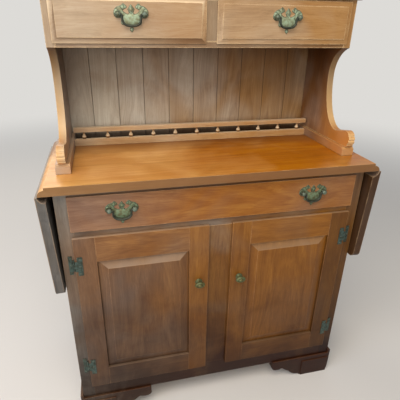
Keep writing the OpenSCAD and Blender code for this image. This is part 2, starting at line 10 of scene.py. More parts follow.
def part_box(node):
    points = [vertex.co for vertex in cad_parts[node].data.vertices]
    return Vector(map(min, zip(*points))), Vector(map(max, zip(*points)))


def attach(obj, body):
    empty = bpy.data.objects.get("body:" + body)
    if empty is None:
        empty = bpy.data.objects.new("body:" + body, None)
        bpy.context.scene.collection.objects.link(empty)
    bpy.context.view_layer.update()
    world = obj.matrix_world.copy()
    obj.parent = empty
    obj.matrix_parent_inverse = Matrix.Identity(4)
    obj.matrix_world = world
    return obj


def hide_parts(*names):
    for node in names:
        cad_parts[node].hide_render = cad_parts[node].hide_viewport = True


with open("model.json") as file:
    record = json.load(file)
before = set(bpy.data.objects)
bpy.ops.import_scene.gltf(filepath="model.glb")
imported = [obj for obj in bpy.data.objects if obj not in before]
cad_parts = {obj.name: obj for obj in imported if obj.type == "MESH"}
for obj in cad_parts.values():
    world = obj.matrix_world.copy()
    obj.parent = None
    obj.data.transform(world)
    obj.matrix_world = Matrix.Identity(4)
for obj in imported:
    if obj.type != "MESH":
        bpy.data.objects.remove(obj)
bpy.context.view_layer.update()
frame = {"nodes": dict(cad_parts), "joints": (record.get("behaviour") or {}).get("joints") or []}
nodes = frame["nodes"]
print("frame loaded")

scene = bpy.context.scene
scene.view_settings.view_transform = "Standard"
mm = 0.001
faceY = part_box("face_stiles")[0][1]  # the face frame's front plane, metres


def toLinear(hexColour):
    channels = [int(hexColour[i:i + 2], 16) / 255 for i in (1, 3, 5)]
    return [c / 12.92 if c <= 0.04045 else ((c + 0.055) / 1.055) ** 2.4 for c in channels] + [1.0]


# adds a node, sets its properties and inputs, and links the sockets it is given
def addNode(tree, kind, settings=None, links=None):
    node = tree.nodes.new(kind)
    for key, value in (settings or {}).items():
        if key == "stops":
            ramp = node.color_ramp
            while len(ramp.elements) < len(value):
                ramp.elements.new(0.5)
            for element, (position, colour) in zip(ramp.elements, value):
                element.position = position
                element.color = toLinear(colour)
        elif isinstance(key, str) and key[0].islower():
            setattr(node, key, value)
        else:
            node.inputs[key].default_value = toLinear(value) if isinstance(value, str) else value
    for key, socket in (links or {}).items():
        tree.links.new(socket, node.inputs[key])
    return node


# builds rows of (name, node, settings, links); a link names an earlier row and, after a
# slash, which of its outputs is taken
def addRows(tree, rows):
    made = {}
    for row, kind, settings, links in rows:
        sockets = {}
        for key, source in links.items():
            origin, _, output = source.partition("/")
            outputs = made[origin].outputs
            sockets[key] = outputs[int(output)] if output.isdigit() else outputs[output or 0]
        made[row] = addNode(tree, "ShaderNode" + kind, settings, sockets)
    return made


# settings of a node that mixes two colours, and of one that darkens the first by the second
blend = {"data_type": "RGBA"}
darken = {**blend, "blend_type": "MULTIPLY"}


def newMaterial(name):
    material = bpy.data.materials.new(name)
    material.use_nodes = True
    material.node_tree.nodes.clear()
    return material, material.node_tree


# a smooth line through the points; a closed one comes back round to its start
def smoothLine(points, steps=4, closed=False):
    points = [Vector(p) for p in points]
    count = len(points)
    line = []
    for i in range(count if closed else count - 1):
        before, here, there, after = [
            points[k % count] if closed else points[min(max(k, 0), count - 1)]
            for k in (i - 1, i, i + 1, i + 2)]
        for step in range(steps):
            t = step / steps
            line.append(0.5 * ((2 * here) + (there - before) * t
                               + (2 * before - 5 * here + 4 * there - after) * t * t
                               + (3 * here - before - 3 * there + after) * t ** 3))
    if not closed:
        line.append(points[-1])
    return line


def ease(t):
    t = min(max(t, 0.0), 1.0)
    return t * t * (3 - 2 * t)


def ridge(t):
    return math.exp(-t * t)


# where the wood's colour changes, metres, mostly by painted light and shade: front and rear go
# by depth, the rest by height, and each runs from its first value to full strength at its second
zones = dict(front=(0.07, -0.1), rear=(0.015, 0.115), bay=(0.86, 1.09), nook=(0.85, 0.82),
             towardsFloor=(0.66, 0.12))
# the figure of the wood, times per metre along the grain and across it
figure = dict(wander=(3.8, 11.0, 11.0), fibre=(9.1, 417.0, 417.0), stripe=(1.7, 53.0, 53.0),
              fleck=(111.0, 1111.0, 1111.0), arch=14.3, blotch=6.5, cloud=4.5, patch=34.0)


# Old maple, planed, stained and varnished. The eye gets straight fibre streaks a few
# millimetres apart, arched flat-sawn figure down each board, stain that took unevenly,
# rubbed pale arrises, corners darkened by grime and painted shade, and a satin varnish worn
# in patches. Light and shade are painted in as well: paler fronts and upward faces, darker
# backs, nooks and undersides.
def varnishedMaple(name, look):
    material, tree = newMaterial(name)
    streakRest = 1.0 - look["fibre"] - look["stripe"] - look["rings"]
    addRows(tree, [
        ("grain", "Attribute", {"attribute_name": "grainCo"}, {}),
        ("tone", "Attribute", {"attribute_name": "boardTone"}, {}),
        ("shade", "Attribute", {"attribute_name": "boardShade"}, {}),
        ("seed", "Attribute", {"attribute_name": "boardSeed"}, {}),
        ("spot", "TexCoord", {}, {}),
        ("normal", "NewGeometry", {}, {}),
        ("seedShift", "CombineXYZ", {}, {0: "seed/Fac", 1: "seed/Fac", 2: "seed/Fac"}),
        ("seeded", "VectorMath", {"operation": "ADD"}, {0: "grain/Vector", 1: "seedShift"}),

        # the grain wanders 8 mm sideways over about 0.25 m
        ("wanderPlace", "VectorMath", {"operation": "MULTIPLY", 1: figure["wander"]}, {0: "seeded"}),
        ("wanderNoise", "TexNoise", {"Scale": 1.0, "Detail": 2.0}, {"Vector": "wanderPlace"}),
        ("wander", "MapRange", {1: 0.3, 2: 0.7, 3: -0.008, 4: 0.008}, {0: "wanderNoise"}),
        ("shove", "CombineXYZ", {}, {1: "wander", 2: "wander"}),
        ("bent", "VectorMath", {"operation": "ADD"}, {0: "grain/Vector", 1: "shove"}),
        ("bentSeeded", "VectorMath", {"operation": "ADD"}, {0: "seeded", 1: "shove"}),

        # fibres 2.4 mm apart and 110 mm long, stripes 19 mm apart
        ("fibrePlace", "VectorMath", {"operation": "MULTIPLY", 1: figure["fibre"]}, {0: "bentSeeded"}),
        ("fibre", "TexNoise", {"Scale": 1.0, "Detail": 5.0, "Roughness": 0.7}, {"Vector": "fibrePlace"}),
        ("stripePlace", "VectorMath", {"operation": "MULTIPLY", 1: figure["stripe"]}, {0: "bentSeeded"}),
        ("stripe", "TexNoise", {"Scale": 1.0, "Detail": 3.0, "Roughness": 0.6}, {"Vector": "stripePlace"}),

        # flat-sawn figure: growth rings cut as long parabolas that close about every 70 mm
        ("split", "SeparateXYZ", {}, {0: "bent"}),
        ("archAlong", "Math", {"operation": "MULTIPLY", 1: figure["arch"]}, {0: "split/X"}),
        ("acrossSquare", "Math", {"operation": "MULTIPLY"}, {0: "split/Y", 1: "split/Y"}),
        ("throughSquare", "Math", {"operation": "MULTIPLY_ADD"},
         {0: "split/Z", 1: "split/Z", 2: "acrossSquare"}),
        ("archPull", "Math", {"operation": "MULTIPLY_ADD", 1: look["archPull"]},
         {0: "throughSquare", 2: "archAlong"}),
        ("arch", "Math", {"operation": "MULTIPLY_ADD", 1: 3.0}, {0: "stripe", 2: "archPull"}),
        ("ringPlace", "CombineXYZ", {}, {0: "arch", 1: "seed/Fac"}),
        ("rings", "TexNoise", {"Scale": 1.0, "Detail": 3.0, "Roughness": 0.65}, {"Vector": "ringPlace"}),
        ("blotch", "TexNoise",
         {"Scale": figure["blotch"], "Detail": 4.0, "Roughness": 0.6, "Distortion": 0.5},
         {"Vector": "spot/Object"}),
        ("streakFibre", "Math", {"operation": "MULTIPLY", 1: look["fibre"]}, {0: "fibre"}),
        ("streakStripe", "Math", {"operation": "MULTIPLY_ADD", 1: look["stripe"]},
         {0: "stripe", 2: "streakFibre"}),
        ("streakRings", "Math", {"operation": "MULTIPLY_ADD", 1: look["rings"]},
         {0: "rings", 2: "streakStripe"}),
        ("streaks", "Math", {"operation": "MULTIPLY_ADD", 1: streakRest}, {0: "blotch", 2: "streakRings"}),

        # colour of the board, warmer and cooler in clouds a hand wide. Beside the wood's own differences,
        # its given tone holds painted cool light from the left, and its shade holds painted shade and light
        ("cloud", "TexNoise", {"Scale": figure["cloud"], "Detail": 2.0, "Distortion": 0.8},
         {"Vector": "spot/Object"}),
        ("drift", "MapRange", {1: 0.35, 2: 0.65, 3: -look["drift"], 4: look["drift"]}, {0: "cloud"}),
        ("toneHere", "Math", {"operation": "ADD", "use_clamp": True}, {0: "tone/Fac", 1: "drift"}),
        ("warm", "ValToRGB", {"stops": list(zip((0.37, 0.5, 0.63), look["warm"]))}, {0: "streaks"}),
        ("cool", "ValToRGB", {"stops": list(zip((0.37, 0.5, 0.63), look["cool"]))}, {0: "streaks"}),
        ("board", "Mix", blend, {0: "toneHere", 6: "cool", 7: "warm"}),
        ("shaded", "VectorMath", {"operation": "SCALE"}, {0: "board/2", 3: "shade/Fac"}),
        ("stainMask", "MapRange", {1: 0.45, 2: 0.68, 4: look["blotch"]}, {0: "blotch"}),
        ("stained", "Mix", {**darken, 7: look["stain"]}, {0: "stainMask", 6: "shaded"}),

        # short dark flecks and open pores, about a millimetre wide
        ("fleckPlace", "VectorMath", {"operation": "MULTIPLY", 1: figure["fleck"]}, {0: "bentSeeded"}),
        ("fleckNoise", "TexNoise", {"Scale": 1.0, "Detail": 2.0}, {"Vector": "fleckPlace"}),
        ("fleck", "MapRange", {1: 0.62, 2: 0.74, 4: 0.3}, {0: "fleckNoise"}),
        ("flecked", "Mix", {**blend, 7: look["warm"][0]}, {0: "fleck", 6: "stained/2"}),

        # painted light: the hutch's front parts are painted lighter, and faces that look to the front
        # take the pale edge colour as a painted highlight
        ("where", "SeparateXYZ", {}, {0: "spot/Object"}),
        ("facing", "SeparateXYZ", {}, {0: "normal/Normal"}),
        ("front", "MapRange", {1: zones["front"][0], 2: zones["front"][1], 4: look["front"]},
         {0: "where/Y"}),
        ("frontTone", "Mix", {**blend, 6: look["frontCool"], 7: look["frontColour"]}, {0: "toneHere"}),
        ("fronted", "Mix", blend, {0: "front", 6: "flecked/2", 7: "frontTone/2"}),
        ("edgeTone", "Mix", {**blend, 6: look["edgeCool"] or look["edge"], 7: look["edge"]}, {0: "toneHere"}),
        ("forward", "MapRange", {1: -0.3, 2: -0.8, 4: look["frontFace"]}, {0: "facing/Y"}),
        ("bleached", "Mix", blend, {0: "forward", 6: "fronted/2", 7: "edgeTone/2"}),

        # darker in enclosed corners: partly old wax and grime, partly painted shade
        ("corner", "AmbientOcclusion", {"samples": 8, "Distance": 0.004}, {}),
        ("grime", "MapRange", {1: 0.25, 2: 0.85, 3: look["grime"], 4: 0.0}, {0: "corner/AO"}),
        ("grimed", "Mix", {**blend, 7: look["grimeColour"]}, {0: "grime", 6: "bleached/2"}),

        # arrises rubbed pale, where the rounded normal leaves the true one
        ("rounded", "Bevel", {"samples": 6, "Radius": look["wearMm"] * mm}, {}),
        ("turned", "VectorMath", {"operation": "DOT_PRODUCT"}, {0: "rounded", 1: "normal/Normal"}),
        ("wear", "MapRange", {1: 0.995, 2: 0.87, 4: look["wear"]}, {0: "turned/Value"}),
        ("patchNoise", "TexNoise", {"Scale": figure["patch"], "Detail": 4.0, "Roughness": 0.7},
         {"Vector": "spot/Object"}),
        ("patchy", "MapRange", {1: 0.38, 2: 0.6, 3: 0.2}, {0: "patchNoise"}),
        ("rub", "Math", {"operation": "MULTIPLY"}, {0: "wear", 1: "patchy"}),
        ("rubbed", "Mix", blend, {0: "rub", 6: "grimed/2", 7: "edgeTone/2"}),

        # painted sheen: faces that look upward are painted paler, as the light from above catches them
        ("ledgeLow", "MapRange", {1: 0.08, 2: 0.3, 4: look["ledge"]}, {0: "facing/Z"}),
        ("ledgeHigh", "MapRange", {1: 0.3, 2: 1.0, 3: 1.0, 4: 0.7}, {0: "facing/Z"}),
        ("ledge", "Math", {"operation": "MULTIPLY"}, {0: "ledgeLow", 1: "ledgeHigh"}),
        ("ledgeTone", "Mix",
         {**blend, 6: look["ledgeColour"], 7: look["ledgeWarm"] or look["ledgeColour"]}, {0: "toneHere"}),
        ("dusty", "Mix", blend, {0: "ledge", 6: "rubbed/2", 7: "ledgeTone/2"}),
        # painted shadow: the back of the worktop is darkened where the hutch shades it
        ("rear", "MapRange", {1: zones["rear"][0], 2: zones["rear"][1], 4: look["rear"]}, {0: "where/Y"}),
        ("rearShade", "Mix", {**darken, 7: look["rearShade"]}, {0: "rear", 6: "dusty/2"}),
        # upright faces take a darker brown
        ("upright", "MapRange", {1: 0.45, 2: 0.15, 4: look["upright"]}, {0: "facing/Z"}),
        ("uprightFaces", "Mix", {**blend, 7: look["uprightColour"]}, {0: "upright", 6: "rearShade/2"}),

        # painted shade: inner faces and back boards darken towards the hutch's drawers above them, the
        # back boards darken at their foot behind the gallery, and faces that look downward darken
        ("outward", "Math", {"operation": "MULTIPLY"}, {0: "where/X", 1: "facing/X"}),
        ("inward", "MapRange", {1: 0.3, 2: 0.1, 4: look["shelter"]}, {0: "outward"}),
        ("highUp", "MapRange", {1: zones["bay"][0], 2: zones["bay"][1]}, {0: "where/Z"}),
        ("shelter", "Math", {"operation": "MULTIPLY"}, {0: "inward", 1: "highUp"}),
        ("sheltered", "Mix", {**darken, 7: look["bayShade"]}, {0: "shelter", 6: "uprightFaces/2"}),
        ("nook", "MapRange", {1: zones["nook"][0], 2: zones["nook"][1], 4: look["nook"]}, {0: "where/Z"}),
        ("nookShade", "Mix", {**darken, 7: look["nookShade"]}, {0: "nook", 6: "sheltered/2"}),
        ("under", "MapRange", {1: -0.1, 2: -0.35, 4: look["under"]}, {0: "facing/Z"}),
        ("underShade", "Mix", {**darken, 7: look["underShade"]}, {0: "under", 6: "nookShade/2"}),
        # lower down, the wood is darker towards the bottom, in patches
        ("lowDown", "MapRange", {1: zones["towardsFloor"][0], 2: zones["towardsFloor"][1], 4: look["darkBelow"]},
         {0: "where/Z"}),
        ("lowPatches", "MapRange", {1: 0.3, 2: 0.6, 3: 0.75, 4: 1.1}, {0: "blotch"}),
        ("low", "Math", {"operation": "MULTIPLY"}, {0: "lowDown", 1: "lowPatches"}),
        ("scuffed", "Mix", {**darken, 7: look["darkBelowColour"]}, {0: "low", 6: "underShade/2"}),

        # satin varnish, duller where the stain took and where it is rubbed
        ("roughHere", "MapRange", {1: 0.3, 2: 0.7, 3: look["rough"] - 0.06, 4: look["rough"] + 0.08},
         {0: "blotch"}),
        ("rough", "Math", {"operation": "MULTIPLY_ADD", 1: 0.2}, {0: "rub", 2: "roughHere"}),
        ("relief", "Math", {"operation": "SUBTRACT"}, {0: "fibre", 1: "fleck"}),
        ("bump", "Bump", {"Strength": 0.22, "Distance": 0.0005}, {"Height": "relief"}),
        ("shader", "BsdfPrincipled", {"Specular IOR Level": look["shine"], "Coat Weight": look["coat"],
                                      "Coat Roughness": 0.25},
         {"Base Color": "scuffed/2", "Roughness": "rough", "Normal": "bump"}),
        ("output", "OutputMaterial", {}, {0: "shader"}),
    ])
    return material


# What all the woods share. warm and cool are the dark, middle and pale of the streaks at tones 1
# and 0, and drift is how far clouds move the tone. fibre, stripe and rings share out the figure,
# and archPull is how tightly its arches close. blotch and wear are how much stain and rubbing show.
# The corner darkening, of grime and painted shade, and the darkening towards the bottom have an
# amount and a colour each. front and frontFace are how much painted light the front parts and the
# forward faces take, ledge how much painted sheen upward faces take, upright how much darker brown
# upright faces take, and the bay shade, nook, rear and under how much painted shade shows under the
# hutch's drawers, behind the gallery, at the back of the worktop and on downward faces. None takes
# the other colour of its pair.
commonWood = dict(
    drift=0.28, fibre=0.26, stripe=0.24, rings=0.22, archPull=900.0, blotch=0.45,
    wear=0.65, wearMm=3, edgeCool=None, grime=0.5, grimeColour="#2a180c",
    front=0.0, frontFace=0.0, frontColour="#c8823a", frontCool="#b39a7c",
    ledge=0.75, ledgeColour="#b09a86", ledgeWarm=None, upright=0.0, uprightColour="#6d5138",
    shelter=0.0, bayShade="#8a7c6c", nook=0.0, nookShade="#6e6660", rear=0.0, rearShade="#98867c",
    under=0.0, underShade="#a08a74", darkBelow=0.0, darkBelowColour="#74665e",
    rough=0.42, shine=0.25, coat=0.06)
woodLooks = {
    # the worktop's pale cool colours, which its left end takes, partly paint in a sheen of the light from the
    # left
    "amberTop": dict(warm=("#8c4d01", "#aa6403", "#c17e0b"), cool=("#c08c48", "#dba963", "#eac08a"),
                     stain="#c8a078", edge="#e2bd8a", grimeColour="#4b2c10", wear=0.9, wearMm=4,
                     rough=0.34, shine=0.2, coat=0.0, blotch=0.35, ledge=0.0, upright=0.85, rear=0.9),
    "amberLeaf": dict(warm=("#8a4a02", "#a86004", "#be7a10"), cool=("#b07c38", "#c8944e", "#d8a968"),
                      stain="#c8a078", edge="#d9b27c", grimeColour="#4b2c10", wear=0.9, wearMm=4,
                      rough=0.34, shine=0.2, blotch=0.35, ledge=0.0),
    # the right leaf's warm colours are darkened as painted shade, and the left leaf's grey ones partly paint
    # in the cool light from the left
    "leafEdge": dict(warm=("#2e1c0c", "#412a16", "#51361d"), cool=("#474645", "#5d5c5a", "#70726d"),
                     stain="#b09a88", edge="#a88d6c", drift=0.1, wear=0.7, wearMm=5, ledge=0.3),
    "tanHutch": dict(warm=("#835b2f", "#9e7849", "#ad8e62"), cool=("#8f7d66", "#a6937b", "#b4a692"),
                     stain="#cdb096", edge="#e0c49a", grimeColour="#4a3018", wear=0.7, wearMm=4,
                     rough=0.4, blotch=0.4, under=0.8, ledgeColour="#dcc8a8"),
    "brownHutch": dict(warm=("#6e4418", "#8a5e28", "#a1793e"), cool=("#86725c", "#a08b74", "#b5a48e"),
                       stain="#c09a78", edge="#dcc096", grimeColour="#33200f", wear=0.8, wearMm=5,
                       blotch=0.5, ledgeColour="#c9ae86"),
    "hutchSide": dict(warm=("#653b14", "#7f5222", "#966d34"), cool=("#8d867e", "#a9a29a", "#bdb8b0"),
                      stain="#b88f6c", edge="#dcc08e", grimeColour="#33200f", wear=0.8, wearMm=5,
                      blotch=0.5, ledge=0.3, ledgeColour="#c99a58", front=0.85, frontFace=0.6, shelter=1.0,
                      edgeCool="#cfbc9a"),
    "drawerMaple": dict(warm=("#764111", "#8f5a1d", "#a6742f"), cool=("#684d3e", "#7f6351", "#937965"),
                        stain="#b58c70", edge="#cfa070", blotch=0.5),
    "doorMaple": dict(warm=("#6a3f11", "#84551c", "#a06e2a"), cool=("#554134", "#6a5547", "#7f6956"),
                      stain="#a07c66", edge="#b98c60", blotch=0.55, darkBelow=0.8,
                      darkBelowColour="#766552", ledge=1.0, ledgeColour="#a5917f", ledgeWarm="#96795a"),
    "caseMaple": dict(warm=("#6d4216", "#8a5c25", "#a77732"), cool=("#67615a", "#7e7c77", "#919491"),
                      stain="#ab8670", edge="#b8976f", blotch=0.5, darkBelow=1.0, darkBelowColour="#5c3f28",
                      ledge=1.0, ledgeColour="#c3a380"),
    "backBoards": dict(warm=("#866139", "#a57e4c", "#c09a65"), cool=("#aea79d", "#d1cdc1", "#e9ebe2"),
                       stain="#b09880", edge="#a88c66", grimeColour="#2a1d12", wear=0.25, wearMm=2,
                       rough=0.5, fibre=0.18, stripe=0.18, rings=0.3, archPull=3200.0,
                       shelter=0.8, nook=1.0),
    # drawer sides, runners and backs: planed and left bare, so matt, pale and dusty
    "bareMaple": dict(warm=("#a3835a", "#bd9d72", "#cdb288"), cool=("#97826a", "#b09a80", "#c0ac94"),
                      stain="#c8b498", edge="#c9ae88", grimeColour="#6b5238", wear=0.2, wearMm=2,
                      rough=0.66, coat=0.0, ledge=0.0),
}
# the shoes' fronts take more of the painted highlight on forward faces, in greyer colours
woodLooks["hutchShoe"] = {**woodLooks["hutchSide"], "edge": "#b88848", "edgeCool": "#a8998a",
                           "frontCool": "#9c8c7a", "frontFace": 0.75}
# the top board takes less of the painted sheen on its upward face, in a duller colour
woodLooks["hutchTop"] = {**woodLooks["tanHutch"], "ledge": 0.6, "ledgeColour": "#a08a6c"}
woods = {name: varnishedMaple(name, {**commonWood, **look}) for name, look in woodLooks.items()}
print("wood materials made")


# Cast and stamped brass, never polished: brown lacquer gone green in the hollows and
# rubbed on the high spots. The eye gets pale verdigris, dark outlines that are partly painted
# shade, and a few warm glints painted pale on the rubbed edges.
def agedMetal(name, look):
    material, tree = newMaterial(name)
    addRows(tree, [
        ("spot", "TexCoord", {}, {}),
        ("normal", "NewGeometry", {}, {}),
        ("settled", "Attribute", {"attribute_name": "settledGrime"}, {}),
        # verdigris in clouds 8 mm wide, and specks a millimetre wide
        ("cloud", "TexNoise", {"Scale": 130.0, "Detail": 5.0, "Roughness": 0.65}, {"Vector": "spot/Object"}),
        ("speck", "TexNoise", {"Scale": 900.0, "Detail": 3.0, "Roughness": 0.6}, {"Vector": "spot/Object"}),

        # green where the lacquer has gone
        ("green", "MapRange", {1: 0.4, 2: 0.58}, {0: "cloud"}),
        ("greened", "Mix", {**blend, 6: look["metal"], 7: look["patina"]}, {0: "green"}),

        # darker in the hollows, partly grime and partly painted shade, and where the relief says so:
        # grime in its grooves and painted shade on its lower sides
        ("corner", "AmbientOcclusion", {"samples": 8, "Distance": look["hollowMm"] * mm}, {}),
        ("inCorner", "MapRange", {1: 0.5, 2: 0.93, 3: look["hollow"], 4: 0.0}, {0: "corner/AO"}),
        ("hollow", "Math", {"operation": "MAXIMUM"}, {0: "inCorner", 1: "settled/Fac"}),
        ("grimed", "Mix", {**blend, 7: look["dark"]}, {0: "hollow", 6: "greened/2"}),

        # bright where fingers have rubbed the edges, a millimetre wide; the pale colour also paints in
        # glints there
        ("rounded", "Bevel", {"samples": 6, "Radius": 0.0011}, {}),
        ("turned", "VectorMath", {"operation": "DOT_PRODUCT"}, {0: "rounded", 1: "normal/Normal"}),
        ("rub", "MapRange", {1: 0.98, 2: 0.8, 4: look["rub"]}, {0: "turned/Value"}),
        ("rubbed", "Mix", {**blend, 7: look["bright"]}, {0: "rub", 6: "grimed/2"}),

        ("metallic", "MapRange", {3: look["metalFrom"], 4: look["metalTo"]}, {0: "green"}),
        ("rough", "MapRange", {1: 0.3, 2: 0.7, 3: 0.32, 4: 0.6}, {0: "cloud"}),
        ("bump", "Bump", {"Strength": 0.25, "Distance": 0.0002}, {"Height": "speck"}),
        ("shader", "BsdfPrincipled", {},
         {"Base Color": "rubbed/2", "Metallic": "metallic", "Roughness": "rough", "Normal": "bump"}),
        ("output", "OutputMaterial", {}, {0: "shader"}),
    ])
    return material


# hollow says how dark the hollows go, from grime and painted shade, and rub how much rubbing and
# painted glint show; metalFrom and metalTo say how metallic the bare and the green parts are
commonMetal = dict(hollow=0.9, hollowMm=3, rub=0.6, metalFrom=0.5, metalTo=0.1)
metalLooks = {
    "stampedBrassGreen": dict(metal="#7c7e62", patina="#8fa388", dark="#262c20", bright="#c9c9a8"),
    "stampedBrassBrown": dict(metal="#5f5f42", patina="#667a5e", dark="#1c2017", bright="#c6c6a0"),
    "castBrassPost": dict(metal="#4b4f3c", patina="#5e6d60", dark="#1c211a", bright="#d0d4bc",
                          hollowMm=4, metalFrom=0.6, metalTo=0.2),
    "drawnBrassBail": dict(metal="#26271b", patina="#2f362b", dark="#14170f", bright="#5f5f46",
                           hollow=0.6, rub=0.35, metalTo=0.2),
    "spunBrassKnob": dict(metal="#58522f", patina="#55603f", dark="#1c1c10", bright="#c4bb8c",
                          hollowMm=6, metalFrom=0.7, metalTo=0.3),
    "pressedBrassHinge": dict(metal="#31382f", patina="#3b504b", dark="#141a18", bright="#8f917a",
                              hollow=0.8, rub=0.5, metalFrom=0.6, metalTo=0.25),
    "blackenedSteel": dict(metal="#33302c", patina="#45403a", dark="#1a1816", bright="#77706a",
                           hollow=0.6, rub=0.4, metalFrom=0.8, metalTo=0.6),
}
metals = {name: agedMetal(name, {**commonMetal, **look}) for name, look in metalLooks.items()}
print("metal materials made")


def place(piece, body, slot, *standsFor):
    scene.collection.objects.link(piece)
    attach(piece, body)
    if standsFor:
        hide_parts(*standsFor)
    return piece


# turns a made shape into a smooth piece whose sharper edges stay sharp, and places it
def finishPiece(shape, name, material, body, slot, standsFor, sharpDegrees):
    bmesh.ops.recalc_face_normals(shape, faces=shape.faces[:])
    mesh = bpy.data.meshes.new(name)
    shape.to_mesh(mesh)
    shape.free()
    for polygon in mesh.polygons:
        polygon.use_smooth = True
    mesh.set_sharp_from_angle(angle=math.radians(sharpDegrees))
    mesh.materials.append(material)
    return place(bpy.data.objects.new(name, mesh), body, slot, *standsFor)


# leaves whose outer face is their varnished top while they hang, and the side it looks to
varnishedTops = {"leaf_left": -1, "leaf_right": 1}
# how far the outer edge of a moulded drawer front falls back from its own rim, mm
rimFall = {"small_left_front": 4.8, "small_right_front": 4.8}


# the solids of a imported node, each a list of its vertices, from left to right
def looseSolids(source):
    waiting = set(source.verts)
    solids = []
    while waiting:
        first = waiting.pop()
        solid, reached = {first}, [first]
        for vertex in reached:
            for link in vertex.link_edges:
                other = link.other_vert(vertex)
                if other not in solid:
                    solid.add(other)
                    reached.append(other)
        waiting -= solid
        solids.append(sorted(solid, key=lambda v: v.index))
    solids.sort(key=lambda s: (round(min(v.co.x for v in s), 4), round(min(v.co.z for v in s), 4),
                               round(min(v.co.y for v in s), 4)))
    return solids


# slopes a drawer front's rim: its outer edge falls back by so many millimetres
def slopeRim(board, fallMm):
    west, east = min(v.co.x for v in board.verts), max(v.co.x for v in board.verts)
    foot, head = min(v.co.z for v in board.verts), max(v.co.z for v in board.verts)
    front = min(v.co.y for v in board.verts)
    for v in board.verts:
        onRim = min(v.co.x - west, east - v.co.x, v.co.z - foot, head - v.co.z) < 0.1 * mm
        if onRim and v.co.y < front + 3 * mm:
            v.co.y += fallMm * mm


# inner corners stay crisp, and outer ones are softened where they turn by more than sharp degrees
def softenArrises(board, arrisMm, sharp):
    board.normal_update()
    for e in board.edges:
        if e.is_manifold and not e.is_convex and e.calc_face_angle(0) > math.radians(25):
            e.smooth = False
    if arrisMm:
        corners = [e for e in board.edges if e.is_manifold and e.is_convex
                   and e.calc_face_angle(0) > math.radians(sharp)]
        bmesh.ops.bevel(board, geom=corners, offset=arrisMm * mm, offset_type="OFFSET",
                        segments=3 if arrisMm > 2 else 2, profile=0.5, affect="EDGES",
                        clamp_overlap=True)


# writes where each point is along and across its board's grain, and the board's tone, shade and seed
def grainBoard(board, axis, tones, number, dice):
    low = [min(v.co[k] for v in board.verts) for k in range(3)]
    high = [max(v.co[k] for v in board.verts) for k in range(3)]
    size = [h - l for l, h in zip(low, high)]
    along = "xyz".index(axis) if axis else size.index(max(size))
    order = [along] + [k for k in range(3) if k != along]
    middle = [(l + h) / 2 + dice.uniform(-0.3, 0.3) * s for l, h, s in zip(low, high, size)]
    if isinstance(tones, list):
        stops, shade = tones[number] if isinstance(tones[number][0], tuple) else (tones[number], 1.0)
    else:
        stops, shade = [dice.uniform(*tones)] * 2, 1.0
    stretches = len(stops) - 1
    for cut in range(1, stretches):
        bmesh.ops.bisect_plane(board, geom=board.verts[:] + board.edges[:] + board.faces[:],
                               plane_co=(low[0] + size[0] * cut / stretches, 0, 0), plane_no=(1, 0, 0))
    boardSeed = dice.uniform(0, 40)
    grainLayer = board.verts.layers.float_vector["grainCo"]
    toneLayer, seedLayer, shadeLayer = [board.verts.layers.float[layer] for layer in
                                        ("boardTone", "boardSeed", "boardShade")]
    for vertex in board.verts:
        vertex[grainLayer] = [vertex.co[order[k]] - middle[order[k]] for k in range(3)]
        aside = (vertex.co.x - low[0]) / max(size[0], 1e-6) * stretches
        cut = min(max(int(aside), 0), stretches - 1)
        vertex[toneLayer] = stops[cut] + (stops[cut + 1] - stops[cut]) * (aside - cut)
        vertex[shadeLayer] = shade
        vertex[seedLayer] = boardSeed


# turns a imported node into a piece: each solid is welded, gets softened arrises and its
# own grain direction and tone, and the whole stands for the node
def dress(name, body, slot, material, arrisMm=0.0, axis=None, tones=(0.0, 1.0), sharp=40, seed=1):
    dice = random.Random(seed)
    source = bmesh.new()
    source.from_mesh(nodes[name].data)
    bmesh.ops.remove_doubles(source, verts=source.verts[:], dist=1e-5)
    bmesh.ops.dissolve_limit(source, angle_limit=math.radians(0.4), verts=source.verts[:],
                             edges=source.edges[:])
    source.verts.index_update()
    source.faces.index_update()
    mesh = bpy.data.meshes.new(name + "Piece")
    gathered = bmesh.new()
    for number, solid in enumerate(looseSolids(source)):
        board = bmesh.new()
        board.verts.layers.float_vector.new("grainCo")
        for layer in ("boardTone", "boardSeed", "boardShade"):
            board.verts.layers.float.new(layer)
        copies = {vertex: board.verts.new(vertex.co) for vertex in solid}
        faces = sorted({face for vertex in solid for face in vertex.link_faces}, key=lambda f: f.index)
        for face in faces:
            board.faces.new([copies[vertex] for vertex in face.verts])
        if name in rimFall:
            slopeRim(board, rimFall[name])
        softenArrises(board, arrisMm, sharp)
        grainBoard(board, axis, tones, number, dice)
        board.to_mesh(mesh)
        board.free()
        gathered.from_mesh(mesh)
    gathered.to_mesh(mesh)
    gathered.free()
    source.free()
    mesh.materials.append(material)
    if name in varnishedTops:
        mesh.materials.append(woods["amberLeaf"])
    # faces that look straight out of a hanging leaf are its varnished top
    for polygon in mesh.polygons:
        polygon.use_smooth = True
        polygon.material_index = int(polygon.normal.x * varnishedTops.get(name, 0) > 0.9)
    piece = bpy.data.objects.new(name + "Piece", mesh)
    if arrisMm:
        piece.modifiers.new("flatFaces", "WEIGHTED_NORMAL").keep_sharp = True
    else:
        mesh.set_sharp_from_angle(angle=math.radians(34))
    return place(piece, body, slot, name)


# slot names for the woods, where they aren't hutch_wood
slots = dict(amberTop="top_wood", leafEdge="top_wood", caseMaple="case_wood", bareMaple="inner_wood",
             doorMaple="door_wood", drawerMaple="drawer_wood", backBoards="back_wood")
